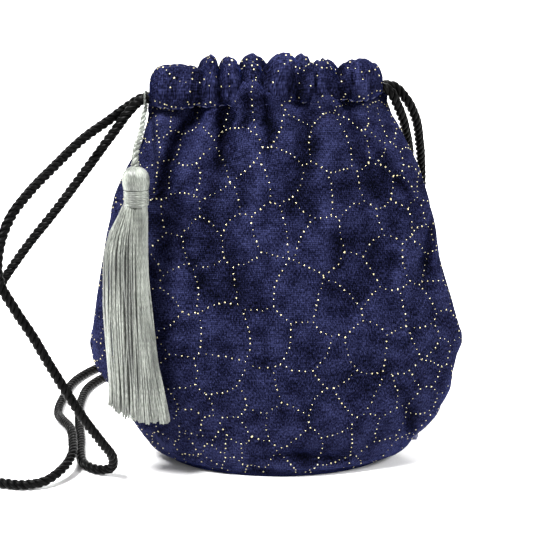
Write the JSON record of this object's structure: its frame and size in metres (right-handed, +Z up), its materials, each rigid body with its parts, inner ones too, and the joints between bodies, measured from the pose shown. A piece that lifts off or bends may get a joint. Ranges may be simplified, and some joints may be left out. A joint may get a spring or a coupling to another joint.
{
  "type": "drawstring gift pouch",
  "caption": "Soft round-bottomed velvet gift pouch with a gathered drawstring mouth, twisted carrying cords and a hanging tassel.",
  "frame": {"origin": "middle of the underside of the oval base, on the surface that the pouch stands on", "axes": "+Z up through the gathered mouth, -Y out of the front panel, +X to the right of someone facing the front"},
  "size_m": [0.2966, 0.2263, 0.221],
  "materials": {
    "velvet": "ribbed navy stretch velvet with a soft sheen",
    "lining": "smooth navy satin lining",
    "cord": "three-strand twisted black satin",
    "thread": "navy sewing thread",
    "whipping": "black whipping thread",
    "silver_thread": "silver-grey rayon thread with a sheen"
  },
  "bodies": {
    "pouch": {"front_panel": "velvet", "base_panel": "velvet", "front_lining": "lining", "base_lining": "lining", "front_band": "velvet", "front_band_stitches": "thread", "front_channel_cord": "cord", "front_cord_join": "whipping", "front_strap_cord": "cord", "back_strap_cord": "cord"},
    "back_wall": {"back_panel": "velvet", "back_lining": "lining", "back_band": "velvet", "back_band_stitches": "thread", "back_channel_cord": "cord", "back_cord_join": "whipping"},
    "loop": {"tassel_loop": "silver_thread"},
    "hanger": {"tassel_hanger": "silver_thread"},
    "tassel": {"tassel_head": "silver_thread", "tassel_binding": "silver_thread", "tassel_skirt": "silver_thread"}
  },
  "joints": [
    {"name": "mouth_open", "type": "hinge", "parent": "pouch", "child": "back_wall", "pos_m": [0, 0.0279, 0.0016], "axis": [-1, 0, 0], "range_deg": [0, 7]},
    {"name": "tassel_lift", "type": "hinge", "parent": "pouch", "child": "loop", "pos_m": [-0.0682, -0.0045, 0.2006], "axis": [-1, 0, 0], "range_deg": [0, 60]},
    {"name": "tassel_swing", "type": "hinge", "parent": "loop", "child": "hanger", "pos_m": [-0.0682, -0.00794, 0.19547], "axis": [0, 0.726, -0.6877], "range_deg": [0, 20]},
    {"name": "tassel_twist", "type": "hinge", "parent": "hanger", "child": "tassel", "pos_m": [-0.0715, -0.0315, 0.1706], "axis": [0, 0, 1], "range_deg": [-20, 20]}
  ]
}
